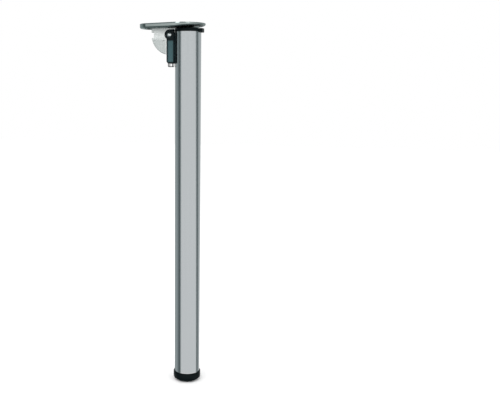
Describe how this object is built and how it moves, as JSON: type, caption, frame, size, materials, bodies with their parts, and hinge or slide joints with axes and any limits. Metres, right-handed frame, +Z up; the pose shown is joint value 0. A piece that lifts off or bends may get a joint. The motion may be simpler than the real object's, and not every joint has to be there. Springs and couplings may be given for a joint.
{
  "type": "folding table leg",
  "caption": "Round folding table leg on a die-cast plate: it swings flat under the table, locks open or folded with a spring bolt and levels on a screw foot.",
  "frame": {"origin": "on the table face of the mounting plate, on the axis of the open leg", "axes": "+Z up into the table top, +X towards the plate's wide end; the leg hangs down along -Z and folds towards -X"},
  "size_m": [0.129, 0.084, 0.71],
  "materials": {
    "die_cast_zinc": "as-cast zinc alloy, tumbled and lightly polished bead",
    "bronze_bush": "sintered bronze",
    "polished_pin": "polished steel rivet",
    "zinc_plated_steel": "zinc plated",
    "washer_nylon": "natural nylon",
    "black_bracket": "black powder coat on a die casting",
    "black_screws": "black oxide",
    "satin_tube": "satin silver coat on steel tube",
    "black_plastic": "moulded black plastic, fine texture",
    "hardened_steel": "blued steel",
    "black_ring": "black coated strip",
    "spring_steel": "drawn spring wire",
    "grey_insert": "moulded dark grey plastic"
  },
  "bodies": {
    "plate": {"mounting_plate": "die_cast_zinc", "pivot_bush": "bronze_bush"},
    "leg": {"leg_tube": "satin_tube", "hinge_bracket": "black_bracket", "bracket_screws": "black_screws", "backing_strip_front": "zinc_plated_steel", "backing_strip_back": "zinc_plated_steel", "top_cap": "black_plastic", "pivot_pin": "polished_pin", "pin_washer": "zinc_plated_steel", "friction_washer_front": "washer_nylon", "friction_washer_back": "washer_nylon", "spring_seat": "zinc_plated_steel", "lock_spring": "spring_steel", "foot_insert": "grey_insert", "insert_nut": "zinc_plated_steel"},
    "lock": {"lock_bolt": "hardened_steel", "bolt_pin": "hardened_steel", "pull_ring": "black_ring"},
    "foot": {"foot_stud": "zinc_plated_steel", "foot_glide": "black_plastic"}
  },
  "joints": [
    {"name": "leg_fold", "type": "hinge", "parent": "plate", "child": "leg", "pos_m": [-0.034, 0, -0.021], "axis": [0, 1, 0], "range_deg": [0, 90]},
    {"name": "lock_pull", "type": "slide", "parent": "leg", "child": "lock", "axis": [0, 0, 1], "range_m": [0, 0.005], "deforming": ["lock_spring"]},
    {"name": "foot_level", "type": "slide", "parent": "leg", "child": "foot", "axis": [0, 0, -1], "range_m": [0, 0.015]}
  ]
}
